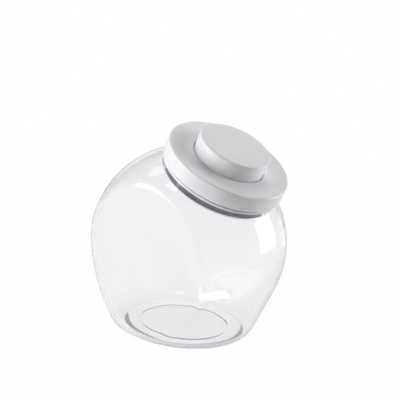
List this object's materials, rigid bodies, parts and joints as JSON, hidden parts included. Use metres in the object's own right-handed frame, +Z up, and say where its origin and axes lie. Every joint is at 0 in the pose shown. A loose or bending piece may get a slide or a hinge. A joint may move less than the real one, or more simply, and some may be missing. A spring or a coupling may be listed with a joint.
{
  "type": "pop-top storage container",
  "caption": "Clear round jar with two flat sides and a tilted mouth, closed by a white lid whose raised push button works a gasket.",
  "frame": {"origin": "middle of the bounding box on the surface that the jar stands on", "axes": "+Z up, flat sides facing +X and -X, mouth leaning towards -Y"},
  "size_m": [0.1292, 0.1978, 0.2086],
  "materials": {
    "clear_plastic": "clear, smooth moulded",
    "white_plastic": "satin moulded",
    "natural_nylon": "natural, unpainted",
    "grey_silicone": "matt, soft",
    "zinc_steel": "bright zinc plate"
  },
  "bodies": {
    "jar": {"jar_body": "clear_plastic"},
    "lid": {"lid_cap": "white_plastic", "lid_frame": "white_plastic", "gasket": "grey_silicone", "spring": "zinc_steel", "cap_screw_1": "zinc_steel", "cap_screw_2": "zinc_steel", "cap_screw_3": "zinc_steel", "cap_screw_4": "zinc_steel", "lever_pin_1": "zinc_steel", "lever_pin_2": "zinc_steel", "lever_pin_3": "zinc_steel", "lever_pin_4": "zinc_steel"},
    "button": {"button_cap": "white_plastic", "button_core": "natural_nylon", "core_screw_1": "zinc_steel", "core_screw_2": "zinc_steel", "core_screw_3": "zinc_steel"},
    "seal": {"seal_plate": "white_plastic"},
    "lever_1": {"lever_1": "natural_nylon"},
    "lever_2": {"lever_2": "natural_nylon"},
    "lever_3": {"lever_3": "natural_nylon"},
    "lever_4": {"lever_4": "natural_nylon"},
    "latch": {"latch_wire": "zinc_steel"}
  },
  "joints": [
    {"name": "lid_lift", "type": "slide", "parent": "jar", "child": "lid", "axis": [0, -0.4879, 0.8729], "range_m": [0, 0.06]},
    {"name": "button_press", "type": "slide", "parent": "lid", "child": "button", "axis": [0, 0.4879, -0.8729], "range_m": [0, 0.0145], "stiffness_N_per_m": 300, "springref_m": -0.012, "deforming": ["spring"]},
    {"name": "seal_rise", "type": "slide", "parent": "lid", "child": "seal", "axis": [0, -0.4879, 0.8729], "range_m": [0, 0.00218], "deforming": ["gasket"]},
    {"name": "lever_1_swing", "type": "hinge", "parent": "lid", "child": "lever_1", "pos_m": [0.0373, -0.03952, 0.16454], "axis": [0, -0.8729, -0.4879], "range_deg": [0, 35.2]},
    {"name": "lever_2_swing", "type": "hinge", "parent": "lid", "child": "lever_2", "pos_m": [0, -0.00696, 0.18274], "axis": [1, 0, 0], "range_deg": [0, 35.2]},
    {"name": "lever_3_swing", "type": "hinge", "parent": "lid", "child": "lever_3", "pos_m": [-0.0373, -0.03952, 0.16454], "axis": [0, 0.8729, 0.4879], "range_deg": [0, 35.2]},
    {"name": "lever_4_swing", "type": "hinge", "parent": "lid", "child": "lever_4", "pos_m": [0, -0.07208, 0.14635], "axis": [-1, 0, 0], "range_deg": [0, 35.2]},
    {"name": "latch_wire_swing", "type": "hinge", "parent": "lid", "child": "latch", "pos_m": [0.01697, -0.02109, 0.16636], "axis": [-0.7071, -0.6172, -0.345], "range_deg": [0, 8.9]}
  ],
  "couplings": [
    {"joint": "seal_rise", "follows": "button_press", "ratio": 0.15},
    {"joint": "lever_1_swing", "follows": "button_press", "rad_per_m": 42.328},
    {"joint": "lever_2_swing", "follows": "button_press", "rad_per_m": 42.328},
    {"joint": "lever_3_swing", "follows": "button_press", "rad_per_m": 42.328},
    {"joint": "lever_4_swing", "follows": "button_press", "rad_per_m": 42.328},
    {"joint": "latch_wire_swing", "follows": "button_press", "rad_per_m": 10.652}
  ]
}
